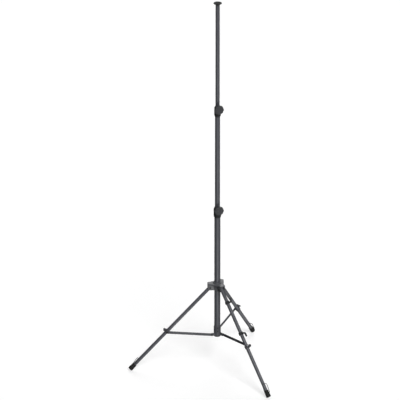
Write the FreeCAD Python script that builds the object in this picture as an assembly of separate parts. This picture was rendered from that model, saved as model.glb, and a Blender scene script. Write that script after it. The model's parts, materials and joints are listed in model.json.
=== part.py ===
import FreeCAD, Part
import os
from math import atan2, cos, degrees, hypot, radians, sin, sqrt

# Telescopic mast on a folding tripod, millimetres, +Z up.
# Origin: the mast's axis where it meets the floor. Opened out, at full height.
# Azimuths are counted from +X towards +Y, seen from above.

V = FreeCAD.Vector

# Tubes: outer radius and wall
BOTTOM_TUBE_R, MIDDLE_TUBE_R, TOP_TUBE_R = 17.5, 14.5, 12.0
MAST_WALL = 1.5
LEG_TUBE_R, LEG_WALL = 10.0, 1.2

# Mast heights above the floor
BASE_BOTTOM = 200.0
BASE_CAP_H = 6.0
BOTTOM_TUBE_TOP = 996.0
MIDDLE_TUBE_BOTTOM, MIDDLE_TUBE_TOP = 850.0, 1628.0
TOP_TUBE_BOTTOM, TOP_TUBE_TOP = 1500.0, 2283.5
FLANGE_TOP = 2290.0
FLANGE_R, FLANGE_H = 23.75, 3.0
THREAD_R, THREAD_DEPTH = 4.25, 25.0

# Tripod
LEG_AZIMUTHS = {"left": 180.0, "front": 300.0, "rear": 60.0}
LEG_TILT = 42.7
LEG_LENGTH = 685.4
PIVOT_R = 42.0
CLAMP_ON_LEG = 368.5
LUG_R, LUG_Z = 32.0, 214.8
FOOT_R, FOOT_TOP_R, FOOT_LENGTH, FOOT_FLOOR, FOOT_ROUND = 14.2, 13.0, 40.0, 4.0, 1.5
HOOKS_ON_LEG = {"upper": (86.0, -1), "lower": (283.0, 1)}

# Fits and gaps
RUNNING = 0.06
GAP = 0.3

# Braces lie beside the legs: the lugs end at the joint face, the bars start a gap further out
JOINT_FACE = 14.7
BAR_FACE = JOINT_FACE + GAP
BAR_T, BAR_HALF_W = 3.0, 8.0
PIN_R = 3.0

# Heights that follow from the tripod: the foot's rounded rim just touches the floor
TILT = radians(LEG_TILT)
FOOT_END_Z = (FOOT_R - FOOT_ROUND) * sin(TILT) + FOOT_ROUND * (1 - cos(TILT))
PIVOT_Z = FOOT_END_Z + LEG_LENGTH * cos(TILT)
JOINT_R = PIVOT_R + CLAMP_ON_LEG * sin(TILT)
JOINT_Z = PIVOT_Z - CLAMP_ON_LEG * cos(TILT)

os.makedirs("parts", exist_ok=True)


def save(node, *solids):
    """Write one node; several solids make a group of like pieces."""
    shape = solids[0] if len(solids) == 1 else Part.makeCompound(list(solids))
    count = len(shape.Solids)
    if not shape.isValid() or count != len(solids):
        raise RuntimeError("%s: valid %s, %d solids" % (node, shape.isValid(), count))
    shape.exportStep("parts/%s.step" % node)
    print("%-24s %10.1f mm3" % (node, shape.Volume))


def cyl(r, z0, z1, x=0.0, y=0.0):
    """Upright cylinder from z0 to z1."""
    return Part.makeCylinder(r, z1 - z0, V(x, y, z0))


def cyl_x(r, x0, x1, z=0.0):
    """Cylinder along X, at height z."""
    return Part.makeCylinder(r, x1 - x0, V(x0, 0, z), V(1, 0, 0))


def cyl_y(r, y0, y1, x=0.0, z=0.0):
    """Cylinder along Y, through the point x, z."""
    return Part.makeCylinder(r, y1 - y0, V(x, y0, z), V(0, 1, 0))


def block(x0, x1, y0, y1, z0, z1):
    return Part.makeBox(x1 - x0, y1 - y0, z1 - z0, V(x0, y0, z0))


def ring(r_out, r_in, z0, z1):
    return cyl(r_out, z0, z1).cut(cyl(r_in, z0, z1))


def hexagon_y(across_flats, y0, y1, x, z):
    """Hexagonal prism along Y, such as a nut or a bolt's head."""
    r = across_flats / sqrt(3)
    corners = [V(x + r * cos(radians(60 * k)), y0, z + r * sin(radians(60 * k))) for k in range(7)]
    return Part.Face(Part.makePolygon(corners)).extrude(V(0, y1 - y0, 0))


def link(p, q, r, y0, y1):
    """Flat bar with round ends, between two points of the XZ plane."""
    length = hypot(q[0] - p[0], q[1] - p[1])
    bar = block(0, length, y0, y1, -r, r)
    bar = bar.fuse([cyl_y(r, y0, y1), cyl_y(r, y0, y1, length)])
    bar.rotate(V(0, 0, 0), V(0, 1, 0), -degrees(atan2(q[1] - p[1], q[0] - p[0])))
    bar.translate(V(p[0], 0, p[1]))
    return bar.removeSplitter()


def turned(shape, azimuth):
    """Carry a piece made over the +X axis round to an azimuth."""
    out = shape.copy()
    out.rotate(V(0, 0, 0), V(0, 0, 1), azimuth)
    return out


def on_leg(shape, azimuth):
    """Tilt a piece made along a hanging leg, whose pivot is the origin, and put it in place."""
    out = shape.copy()
    out.rotate(V(0, 0, 0), V(0, 1, 0), -LEG_TILT)
    out.translate(V(PIVOT_R, 0, PIVOT_Z))
    return turned(out, azimuth)


def rounded_path(points, radii):
    """Wire through the points, with an arc of the given radius at each inner one."""
    edges, start = [], points[0]
    for corner, after, r in zip(points[1:], points[2:], radii):
        inward, outward = (start - corner).normalize(), (after - corner).normalize()
        half = inward.getAngle(outward) / 2
        setback = r * cos(half) / sin(half)
        middle = (inward + outward).normalize() * (r / sin(half) - r)
        a, b = corner + inward * setback, corner + outward * setback
        edges += [Part.LineSegment(start, a).toShape(), Part.Arc(a, corner + middle, b).toShape()]
        start = b
    edges.append(Part.LineSegment(start, points[-1]).toShape())
    return Part.Wire(edges)


def knob_head(r, height, lobes, scallop_r, x0):
    """Lobed grip about the X axis, starting at x0, hollowed a little at its face."""
    body = cyl(r, 0, height)
    body = body.makeChamfer(1.6, body.Edges)
    for k in range(lobes):
        a = radians(360 * (k + 0.5) / lobes)
        out = r + 0.7 * scallop_r
        body = body.cut(cyl(scallop_r, -1, height + 1, out * cos(a), out * sin(a)))
    dish = Part.makeCone(0.55 * r, 0.62 * r, 1.2, V(0, 0, height - 1.2))
    body = body.cut(dish)
    body.rotate(V(0, 0, 0), V(0, 1, 0), 90)
    body.translate(V(x0, 0, 0))
    return body


# ---- Mast clamps: collar, brass insert, pad, and the knob on its stud

CLAMP_AZIMUTH = 280.0
STUD_R, INSERT_R, PAD_R, PAD_T = 4.0, 6.0, 5.0, 2.5
KNOB_R, KNOB_H, KNOB_LOBES, KNOB_SCALLOP = 27.5, 14.0, 8, 6.0
COLLAR_BOSS_R = 10.0


def mast_clamp(name, outer_r, tube_r, inner_r, tube_top):
    """Collar on the end of the outer tube. Its screw presses a pad on the tube that slides in it."""
    low, high, knob_z = tube_top - 37, tube_top + 24, tube_top + 14
    shoulder, boss_end = high - 11, outer_r + 5
    body = cyl(outer_r - 1.6, low, low + 7)
    body = body.fuse([cyl(outer_r, low + 7, shoulder),
                      Part.makeCone(outer_r, inner_r + 3.2, high - shoulder, V(0, 0, shoulder)),
                      cyl_x(COLLAR_BOSS_R, 0, boss_end, knob_z)])
    bore_r = inner_r + RUNNING
    pad_end = bore_r + 0.4 + PAD_T
    body = body.cut(cyl(tube_r, low, tube_top)).cut(cyl(bore_r, tube_top, high))
    body = body.cut(cyl_x(PAD_R + 0.1, 0, pad_end + 0.2, knob_z))
    body = body.cut(cyl_x(INSERT_R, pad_end + 0.2, boss_end, knob_z))
    save(name + "_clamp_collar", turned(body.removeSplitter(), CLAMP_AZIMUTH))

    insert = cyl_x(INSERT_R, pad_end + 0.2, boss_end, knob_z)
    insert = insert.cut(cyl_x(STUD_R + RUNNING, 0, boss_end + 1, knob_z))
    save(name + "_clamp_insert", turned(insert, CLAMP_AZIMUTH))

    pad = cyl_x(PAD_R, 0, pad_end, knob_z).cut(cyl(inner_r + GAP, low, high + 5))
    save(name + "_clamp_pad", turned(pad, CLAMP_AZIMUTH))

    head_start = boss_end + 1
    head = knob_head(KNOB_R, KNOB_H, KNOB_LOBES, KNOB_SCALLOP, head_start)
    head = head.cut(cyl_x(STUD_R, head_start - 1, head_start + 9))
    head.translate(V(0, 0, knob_z))
    stud = cyl_x(STUD_R, pad_end + GAP, head_start + 9, knob_z)
    save(name + "_knob_head", turned(head, CLAMP_AZIMUTH))
    save(name + "_knob_stud", turned(stud, CLAMP_AZIMUTH))


mast_clamp("lower", 21.8, BOTTOM_TUBE_R, MIDDLE_TUBE_R, BOTTOM_TUBE_TOP)
mast_clamp("upper", 19.0, MIDDLE_TUBE_R, TOP_TUBE_R, MIDDLE_TUBE_TOP)

# ---- Mast tubes, with a guide bush on each inner tube's lower end

SCREW_AZIMUTH, SCREW_R, SCREW_HEAD_R = 270.0, 2.5, 4.2
SCREW_HEIGHTS = (237.0, 257.0)
TUBE_BOTTOM = BASE_BOTTOM + BASE_CAP_H
BUSH_H = 40.0

bottom_tube = ring(BOTTOM_TUBE_R, BOTTOM_TUBE_R - MAST_WALL, TUBE_BOTTOM, BOTTOM_TUBE_TOP)
for z in SCREW_HEIGHTS:
    hole = turned(cyl_x(SCREW_R, 10, 30, z), SCREW_AZIMUTH)
    bottom_tube = bottom_tube.cut(hole)
save("bottom_tube", bottom_tube)
save("middle_tube", ring(MIDDLE_TUBE_R, MIDDLE_TUBE_R - MAST_WALL, MIDDLE_TUBE_BOTTOM, MIDDLE_TUBE_TOP))
save("top_tube", ring(TOP_TUBE_R, TOP_TUBE_R - MAST_WALL, TOP_TUBE_BOTTOM, TOP_TUBE_TOP))


def guide_bush(outer_tube_r, tube_r, z):
    """Plastic sleeve on the lower end of an inner tube, with a lip under the tube."""
    r = outer_tube_r - MAST_WALL - RUNNING
    sleeve = ring(r, tube_r, z, z + BUSH_H)
    return sleeve.fuse(ring(r, tube_r - MAST_WALL - 1, z - 2, z)).removeSplitter()


save("middle_bush", guide_bush(BOTTOM_TUBE_R, MIDDLE_TUBE_R, MIDDLE_TUBE_BOTTOM))
save("top_bush", guide_bush(MIDDLE_TUBE_R, TOP_TUBE_R, TOP_TUBE_BOTTOM))

# ---- Top flange: a thin round plate on a plug, with a threaded hole down its middle

disc = cyl(FLANGE_R, FLANGE_TOP - FLANGE_H, FLANGE_TOP)
disc = disc.makeFillet(0.9, disc.Edges)
flange = disc.fuse([cyl(TOP_TUBE_R - 0.6, TOP_TUBE_TOP, FLANGE_TOP - 1),
                    cyl(TOP_TUBE_R - MAST_WALL, TOP_TUBE_TOP - 28, TOP_TUBE_TOP)])
flange = flange.cut(cyl(THREAD_R, FLANGE_TOP - THREAD_DEPTH, FLANGE_TOP + 1))
save("top_flange", flange.removeSplitter())

# ---- Mast base: bracket with a lug beside each leg, end cap, screws and brace pins

BRACKET_R, BRACKET_TOP = 20.3, 262.0
LUG_INNER, LUG_HALF_H = 11.0, 8.5

bracket = ring(BRACKET_R, BOTTOM_TUBE_R, TUBE_BOTTOM, BRACKET_TOP)
for azimuth in LEG_AZIMUTHS.values():
    lug = link((13, LUG_Z), (LUG_R, LUG_Z), LUG_HALF_H, LUG_INNER, JOINT_FACE)
    lug = lug.cut(cyl(BOTTOM_TUBE_R + 1, 0, BRACKET_TOP)).cut(cyl_y(PIN_R, 0, 30, LUG_R, LUG_Z))
    bracket = bracket.fuse(turned(lug, azimuth))
for z in SCREW_HEIGHTS:
    bracket = bracket.cut(turned(cyl_x(SCREW_R, 10, 30, z), SCREW_AZIMUTH))
save("base_bracket", bracket.removeSplitter())

cap = cyl(BRACKET_R, BASE_BOTTOM, TUBE_BOTTOM)
cap = cap.makeFillet(2.5, [e for e in cap.Edges if e.BoundBox.ZMax < BASE_BOTTOM + 0.1])
cap = cap.fuse(cyl(BOTTOM_TUBE_R - MAST_WALL, TUBE_BOTTOM, TUBE_BOTTOM + 12))
save("base_cap", cap.removeSplitter())

screws = []
for z in SCREW_HEIGHTS:
    head = cyl_x(SCREW_HEAD_R, BRACKET_R - 0.6, BRACKET_R + 2.2, z)
    head = head.makeFillet(1.2, [e for e in head.Edges if e.BoundBox.XMin > BRACKET_R + 2])
    head = head.cut(cyl(BRACKET_R, 0, BRACKET_TOP + 10))
    screws.append(turned(head.fuse(cyl_x(SCREW_R, 15.2, BRACKET_R + 1, z)).removeSplitter(), SCREW_AZIMUTH))
save("base_screws", *screws)

HEAD_START = BAR_FACE + BAR_T + GAP
pins = []
for azimuth in LEG_AZIMUTHS.values():
    pin = cyl_y(PIN_R, LUG_INNER, HEAD_START + 1, LUG_R, LUG_Z)
    pin_head = cyl_y(5.5, HEAD_START, HEAD_START + 2.2, LUG_R, LUG_Z)
    pins.append(turned(pin.fuse(pin_head).removeSplitter(), azimuth))
save("brace_pins", *pins)

# ---- Leg hub: sleeve that slides on the bottom tube, three-lobed plate, and a fork for each leg

PLATE_TOP, PLATE_H = PIVOT_Z + 26.0, 7.5
PLATE_REACH, LOBE_HALF_W, PLATE_WAIST = 57.0, 15.6, 33.0
BOSS_R, BOSS_H = 23.5, 7.5
EAR_INNER, EAR_OUTER, EAR_R = 10.6, 14.6, 14.5
HUB_BORE_R = BOTTOM_TUBE_R + 0.1
SLEEVE_R = 22.0
LOCK_AZIMUTH, LOCK_Z = 120.0, PIVOT_Z + 1.5

PLATE_BOTTOM = PLATE_TOP - PLATE_H
edges = []
for lobe_azimuth in (60, 180, 300):
    turn = FreeCAD.Rotation(V(0, 0, 1), lobe_azimuth)
    a, b, waist, nxt = [turn.multVec(p) for p in (
        V(PLATE_REACH, -LOBE_HALF_W, 0), V(PLATE_REACH, LOBE_HALF_W, 0),
        V(PLATE_WAIST * cos(radians(60)), PLATE_WAIST * sin(radians(60)), 0),
        FreeCAD.Rotation(V(0, 0, 1), 120).multVec(V(PLATE_REACH, -LOBE_HALF_W, 0)))]
    edges += [Part.LineSegment(a, b).toShape(), Part.Arc(b, waist, nxt).toShape()]
plate = Part.Face(Part.Wire(edges)).extrude(V(0, 0, PLATE_H))
plate = plate.makeFillet(6.0, [e for e in plate.Edges
                               if e.BoundBox.ZLength > PLATE_H - 0.1 and e.BoundBox.DiagonalLength < PLATE_H + 1])
plate = plate.makeFillet(1.6, [e for e in plate.Edges if e.BoundBox.ZMin > PLATE_H - 0.1])
plate.translate(V(0, 0, PLATE_BOTTOM))

boss = cyl(BOSS_R, PLATE_TOP, PLATE_TOP + BOSS_H)
boss = boss.makeFillet(2.5, [e for e in boss.Edges if e.BoundBox.ZMin > PLATE_TOP + BOSS_H - 0.1])
hub = plate.fuse([boss, cyl(SLEEVE_R, PIVOT_Z - EAR_R, PLATE_BOTTOM)])
for leg_azimuth in (60, 180, 300):
    for y0, y1 in ((EAR_INNER, EAR_OUTER), (-EAR_OUTER, -EAR_INNER)):
        ear = link((18, PIVOT_Z), (PIVOT_R, PIVOT_Z), EAR_R, y0, y1)
        ear = ear.fuse(block(16, PIVOT_R + 13.5, y0, y1, PIVOT_Z, PLATE_BOTTOM))
        ear = ear.cut(cyl_y(PIN_R, -30, 30, PIVOT_R, PIVOT_Z))
        hub = hub.fuse(turned(ear, leg_azimuth))
LOCK_BOSS_END = 31.0
hub = hub.fuse(turned(cyl_x(9, 18, LOCK_BOSS_END, LOCK_Z), LOCK_AZIMUTH))
hub = hub.cut(cyl(HUB_BORE_R, 400, 700))
hub = hub.cut(turned(cyl_x(INSERT_R, 10, LOCK_BOSS_END + 1, LOCK_Z), LOCK_AZIMUTH))
save("leg_hub", hub.removeSplitter())

insert = cyl_x(INSERT_R, SLEEVE_R - 3, LOCK_BOSS_END, LOCK_Z)
insert = insert.cut(cyl_x(STUD_R + RUNNING, 0, LOCK_BOSS_END + 1, LOCK_Z))
save("hub_lock_insert", turned(insert, LOCK_AZIMUTH))

LOCK_NECK, LOCK_HEAD = 34.0, 46.0
head = knob_head(13.0, 12.0, 6, 3.5, LOCK_HEAD).fuse(cyl_x(7, LOCK_NECK, LOCK_HEAD))
head = head.cut(cyl_x(STUD_R, LOCK_NECK - 1, LOCK_HEAD + 6))
head.translate(V(0, 0, LOCK_Z))
save("hub_lock_head", turned(head.removeSplitter(), LOCK_AZIMUTH))
stud = cyl_x(STUD_R, BOTTOM_TUBE_R + 0.5, LOCK_HEAD + 6, LOCK_Z)
save("hub_lock_stud", turned(stud, LOCK_AZIMUTH))

bolts, nuts = [], []
for azimuth in LEG_AZIMUTHS.values():
    bolt = cyl_y(PIN_R, -EAR_OUTER - 6, EAR_OUTER + 1, PIVOT_R, PIVOT_Z)
    bolt = bolt.fuse(hexagon_y(10, EAR_OUTER, EAR_OUTER + 4, PIVOT_R, PIVOT_Z))
    nut = hexagon_y(10, -EAR_OUTER - 5, -EAR_OUTER, PIVOT_R, PIVOT_Z)
    nut = nut.cut(cyl_y(PIN_R, -30, 0, PIVOT_R, PIVOT_Z))
    bolts.append(turned(bolt.removeSplitter(), azimuth))
    nuts.append(turned(nut, azimuth))
save("leg_pivot_bolts", *bolts)
save("leg_pivot_nuts", *nuts)

# ---- Legs. Each is made hanging from its pivot at the origin, +X outwards, then put in place

LEG_TOP = 10.0
CLAMP_HALF_L, CLAMP_R = 9.0, 13.2
PINCH_X, PINCH_R = 20.5, 2.5
SMALL_KNOB_R = 8.0
LOOP_UP, LOOP_OUT = 24.0, 4.0
LOOP_WIRE_R, LOOP_HALF_W, LOOP_REACH = 1.6, 16.2, 55.0
LOOP_STUB = 11.6

foot_z = -LEG_LENGTH
loop_z = foot_z + LOOP_UP
clamp_z = -CLAMP_ON_LEG

leg_tube = ring(LEG_TUBE_R, LEG_TUBE_R - LEG_WALL, foot_z + FOOT_FLOOR, LEG_TOP)
leg_tube = leg_tube.cut(cyl_y(PIN_R + RUNNING, -20, 20))

plug = cyl(LEG_TUBE_R, LEG_TOP, LEG_TOP + 2).fuse(cyl(LEG_TUBE_R - LEG_WALL, -8, LEG_TOP))
plug = plug.cut(cyl_y(PIN_R + RUNNING, -20, 20)).removeSplitter()

foot = Part.makeCone(FOOT_R, FOOT_TOP_R, FOOT_LENGTH, V(0, 0, foot_z))
foot = foot.makeFillet(FOOT_ROUND, [e for e in foot.Edges if abs(e.BoundBox.Center.z - foot_z) < 0.1])
foot = foot.cut(cyl(LEG_TUBE_R, foot_z + FOOT_FLOOR, 0))
for y0, y1 in ((-20, -LOOP_STUB + GAP), (LOOP_STUB - GAP, 20)):
    foot = foot.cut(cyl_y(LOOP_WIRE_R + RUNNING, y0, y1, LOOP_OUT, loop_z))

clamp = cyl(CLAMP_R, clamp_z - CLAMP_HALF_L, clamp_z + CLAMP_HALF_L)
clamp = clamp.fuse([link((8, clamp_z), (PINCH_X, clamp_z), 6.0, -5.2, 5.2),
                    cyl_y(7.5, 5, JOINT_FACE, 0, clamp_z)])
clamp = clamp.cut(cyl(LEG_TUBE_R, -LEG_LENGTH, 0))
clamp = clamp.cut(block(5, 40, -1.4, 1.4, clamp_z - 20, clamp_z + 20))
clamp = clamp.cut(cyl_y(PINCH_R + RUNNING, -20, 20, PINCH_X, clamp_z)).removeSplitter()

nut = hexagon_y(8, -9.2, -5.2, PINCH_X, clamp_z).cut(cyl_y(PINCH_R + RUNNING, -20, 0, PINCH_X, clamp_z))

grip = knob_head(SMALL_KNOB_R, JOINT_FACE - 6.0, 6, 2.0, 0)
grip = grip.cut(cyl_x(PINCH_R, -1, 5))
grip.rotate(V(0, 0, 0), V(0, 0, 1), 90)
grip.translate(V(PINCH_X, 5.7, clamp_z))
pinch_stud = cyl_y(PINCH_R, -10, 10.7, PINCH_X, clamp_z)

# The wire loop leans back until its bow nearly touches the leg
LOOP_BOW_X = LEG_TUBE_R + LOOP_WIRE_R + GAP
loop_lean = degrees(atan2(LOOP_BOW_X - LOOP_OUT, LOOP_REACH))
loop_len = hypot(LOOP_BOW_X - LOOP_OUT, LOOP_REACH)
path = rounded_path([V(0, -LOOP_STUB, 0), V(0, -LOOP_HALF_W, 0), V(0, -LOOP_HALF_W, loop_len),
                     V(0, LOOP_HALF_W, loop_len), V(0, LOOP_HALF_W, 0), V(0, LOOP_STUB, 0)],
                    [2.6, 11.0, 11.0, 2.6])
section = Part.Wire(Part.makeCircle(LOOP_WIRE_R, V(0, -LOOP_STUB, 0), V(0, 1, 0)))
loop = path.makePipeShell([section], True, False)
loop.rotate(V(0, 0, 0), V(0, 1, 0), loop_lean)
loop.translate(V(LOOP_OUT, 0, loop_z))

BRACE_ENDS = ((LUG_R, LUG_Z), (JOINT_R, JOINT_Z))
RIVET_HEAD_R, RIVET_HEAD_END = 6.5, BAR_FACE + BAR_T + 5
bar = link(*BRACE_ENDS, BAR_HALF_W, BAR_FACE, BAR_FACE + BAR_T)
bar = bar.cut(cyl_y(PIN_R + RUNNING, 0, 40, LUG_R, LUG_Z)).cut(cyl_y(PIN_R, 0, 40, JOINT_R, JOINT_Z))
rivet = cyl_y(PIN_R, BAR_FACE, BAR_FACE + BAR_T + 1, JOINT_R, JOINT_Z)
rivet_head = cyl_y(RIVET_HEAD_R, BAR_FACE + BAR_T, RIVET_HEAD_END, JOINT_R, JOINT_Z)
rivet_head = rivet_head.makeFillet(2.5, [e for e in rivet_head.Edges if e.BoundBox.YMin > RIVET_HEAD_END - 0.1])
rivet = rivet.fuse(rivet_head).removeSplitter()

LEG_PIECES = {"leg_tube": leg_tube, "leg_plug": plug, "foot_cap": foot, "leg_clamp": clamp,
              "clamp_nut": nut, "clamp_grip": grip, "clamp_stud": pinch_stud, "peg_loop": loop}
for leg, azimuth in LEG_AZIMUTHS.items():
    for name, shape in LEG_PIECES.items():
        save("%s_%s" % (name, leg), on_leg(shape, azimuth))
    save("brace_bar_" + leg, turned(bar, azimuth))
    save("brace_rivet_" + leg, turned(rivet, azimuth))

# ---- Cable hooks clipped round the front leg: split ring, closing lug, and an arm with a bent tip

HOOK_R, HOOK_HALF_L = 13.4, 8.0
ARM_REACH, ARM_DROP, ARM_TIP = 42.0, 11.0, 20.0
ARM_HALF_T, TIP_HALF_T, ARM_HALF_W = 5.0, 3.5, 5.0

for name, (distance, tip_way) in HOOKS_ON_LEG.items():
    z = -distance
    hook = cyl(HOOK_R, z - HOOK_HALF_L, z + HOOK_HALF_L)
    bend, tip = (ARM_REACH, z - ARM_DROP), (ARM_REACH + 2, z - ARM_DROP - tip_way * ARM_TIP)
    hook = hook.fuse([block(-20, -8, -4.6, 4.6, z - 6, z + 6),
                      link((10, z), bend, ARM_HALF_T, -ARM_HALF_W, ARM_HALF_W),
                      link(bend, tip, TIP_HALF_T, -ARM_HALF_W, ARM_HALF_W)])
    hook = hook.cut(cyl(LEG_TUBE_R, -LEG_LENGTH, 0)).cut(block(-30, -5, -0.7, 0.7, z - 20, z + 20))
    save("cable_hook_" + name, on_leg(hook.removeSplitter(), LEG_AZIMUTHS["front"]))
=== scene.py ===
import json
import bpy
import numpy as np
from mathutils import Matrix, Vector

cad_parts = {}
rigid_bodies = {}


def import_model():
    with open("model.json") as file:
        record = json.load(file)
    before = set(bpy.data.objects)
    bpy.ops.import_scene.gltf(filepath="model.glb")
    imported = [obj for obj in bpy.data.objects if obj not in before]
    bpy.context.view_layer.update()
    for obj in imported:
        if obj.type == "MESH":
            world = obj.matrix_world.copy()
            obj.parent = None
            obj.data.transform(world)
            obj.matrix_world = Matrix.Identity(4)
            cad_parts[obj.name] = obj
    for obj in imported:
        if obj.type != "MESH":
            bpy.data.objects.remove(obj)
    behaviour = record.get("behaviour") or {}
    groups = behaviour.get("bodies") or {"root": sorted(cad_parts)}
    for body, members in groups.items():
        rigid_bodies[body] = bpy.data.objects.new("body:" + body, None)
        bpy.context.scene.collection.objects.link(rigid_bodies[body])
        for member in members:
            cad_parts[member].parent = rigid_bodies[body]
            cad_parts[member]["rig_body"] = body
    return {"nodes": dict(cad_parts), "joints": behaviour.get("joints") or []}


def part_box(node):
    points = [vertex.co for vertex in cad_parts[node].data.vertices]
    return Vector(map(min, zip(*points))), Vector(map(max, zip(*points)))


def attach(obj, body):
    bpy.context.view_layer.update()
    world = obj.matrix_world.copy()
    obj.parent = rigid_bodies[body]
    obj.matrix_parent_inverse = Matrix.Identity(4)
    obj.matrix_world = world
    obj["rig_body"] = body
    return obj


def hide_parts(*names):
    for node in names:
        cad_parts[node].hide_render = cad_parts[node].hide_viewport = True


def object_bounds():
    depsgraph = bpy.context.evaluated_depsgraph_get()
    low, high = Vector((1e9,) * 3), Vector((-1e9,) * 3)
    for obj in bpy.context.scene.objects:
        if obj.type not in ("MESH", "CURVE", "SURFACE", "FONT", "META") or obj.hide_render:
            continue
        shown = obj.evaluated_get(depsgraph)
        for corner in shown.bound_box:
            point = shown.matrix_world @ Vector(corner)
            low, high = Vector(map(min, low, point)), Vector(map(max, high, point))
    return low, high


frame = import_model()
cad_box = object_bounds()
NODES = frame["nodes"]
JOINTS = {joint["name"]: joint for joint in frame["joints"]}
MM = 0.001
UP = np.array([0.0, 0.0, 1.0])

# Telescopic mast on a folding tripod. Sections follow the stand as it is put together.
# Sizes are in millimetres. Each piece is made along axes of its own, then put on its seat:
# an origin and three axes taken from the frame's nodes and joints.


# ---- Bottom mast tube ----
# Welded steel tube, 35 mm across and 1.5 mm thick, cut and deburred, sprayed and baked with a
# satin black enamel. It stands in the foot bracket and carries the hub and the lower clamp.

def softened(corners, radii, steps=5, closed=True):
    """Outline whose corners are rounded: each corner becomes an arc that is tangent to both of its
    sides and centred on its bisector, radius / sin(half the corner's angle) away from it."""
    corners = np.asarray(corners, float)
    radii = np.broadcast_to(np.asarray(radii, float), len(corners))
    parts = []
    for i, (corner, radius) in enumerate(zip(corners, radii)):
        if radius == 0 or (not closed and i in (0, len(corners) - 1)):
            parts.append(corner[None])
            continue
        into, out = corners[i - 1] - corner, corners[(i + 1) % len(corners)] - corner
        into, out = into / np.linalg.norm(into), out / np.linalg.norm(out)
        half = np.arccos(np.clip(into @ out, -1, 1)) / 2
        middle, side = into + out, into - out
        middle, side = middle / np.linalg.norm(middle), side / np.linalg.norm(side)
        turn = np.linspace(-1, 1, steps)[:, None] * (np.pi / 2 - half)
        parts.append(corner + middle * radius / np.sin(half)
                     - radius * (middle * np.cos(turn) + side * np.sin(turn)))
    return np.concatenate(parts)


def spun(profile, columns=72):
    """Grid of a profile (radius, height) turned about the Z axis: x = r cos a, y = r sin a."""
    angle = np.linspace(0, 2 * np.pi, columns, endpoint=False)
    radius, height = np.asarray(profile, float).T
    return np.stack([radius[:, None] * np.cos(angle), radius[:, None] * np.sin(angle),
                     np.repeat(height[:, None], columns, 1)], -1)


def shell(grid, ring=False):
    """Closed skin over a grid of points, rows by columns. Each row closes round on itself, and so do
    the columns where ring is true. Otherwise the first and last rows are capped, and a row drawn
    together in one point is a pole. Faces are turned outwards by the sign of the volume."""
    rows, columns = grid.shape[:2]
    index = np.arange(rows * columns).reshape(rows, columns)
    poles = [not ring and np.ptp(grid[end], axis=0).max() < 1e-6 for end in (0, -1)]
    a, b = (index, np.roll(index, -1, 0)) if ring else (index[:-1], index[1:])
    quads = np.stack([a, np.roll(a, -1, 1), np.roll(b, -1, 1), b], -1).reshape(-1, 4)
    groups = [quads[columns if poles[0] else 0:len(quads) - (columns if poles[1] else 0)]]
    if poles[0]:
        groups.append(np.stack([np.full(columns, index[0, 0]), np.roll(index[1], -1), index[1]], -1))
    elif not ring:
        groups.append(index[0, ::-1][None])
    if poles[1]:
        groups.append(np.stack([index[-2], np.roll(index[-2], -1), np.full(columns, index[-1, 0])], -1))
    elif not ring:
        groups.append(index[-1][None])
    used = np.unique(np.concatenate([group.ravel() for group in groups]))
    groups = [np.searchsorted(used, group) for group in groups]
    points = grid.reshape(-1, 3)[used]
    corners = [points[group] for group in groups]
    volume = sum((c[:, :1] * np.cross(c[:, 1:-1], c[:, 2:])).sum() for c in corners)
    return points, [group if volume > 0 else group[:, ::-1] for group in groups]


def seated(part, seat):
    """A skin or a grid moved from its own axes on to a seat: origin + x, y and z along the axes."""
    origin, axes = seat
    if isinstance(part, tuple):
        return origin + part[0] @ axes, part[1]
    return origin + part @ axes


def piece(name, skins, finish, *nodes, sharp=35):
    """One finished piece from one or more skins. It stands for its CAD nodes, which it hides, rides on
    their body and takes the finish it is given. Edges that turn more than sharp degrees stay crisp."""
    points, faces, count = [], [], 0
    for own_points, groups in skins:
        points.append(own_points)
        for group in groups:
            faces += (group + count).tolist()
        count += len(own_points)
    mesh = bpy.data.meshes.new(name)
    mesh.from_pydata(np.concatenate(points) * MM, [], faces)
    mesh.polygons.foreach_set("use_smooth", np.ones(len(mesh.polygons), bool))
    mesh.set_sharp_from_angle(angle=np.radians(sharp))
    mesh.materials.append(finish)
    made = bpy.data.objects.new(name, mesh)
    bpy.context.scene.collection.objects.link(made)
    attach(made, NODES[nodes[0]]["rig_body"])
    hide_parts(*nodes)
    return made


def linear(code):
    """Linear colour of an sRGB hex value: c / 12.92 when dark, else ((c + 0.055) / 1.055) ** 2.4."""
    c = np.array([int(code[i:i + 2], 16) for i in (1, 3, 5)]) / 255
    return (*np.where(c <= 0.04045, c / 12.92, ((c + 0.055) / 1.055) ** 2.4), 1.0)


def node(tree, kind, settings, links):
    """Add a shader node. Settings are its properties or the values of its inputs, and links are
    the sockets that feed its inputs."""
    made = tree.nodes.new("ShaderNode" + kind)
    for key, value in settings.items():
        if isinstance(key, str) and hasattr(made, key):
            setattr(made, key, value)
        else:
            made.inputs[key].default_value = value
    for key, socket in links.items():
        tree.links.new(socket, made.inputs[key])
    return made


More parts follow.
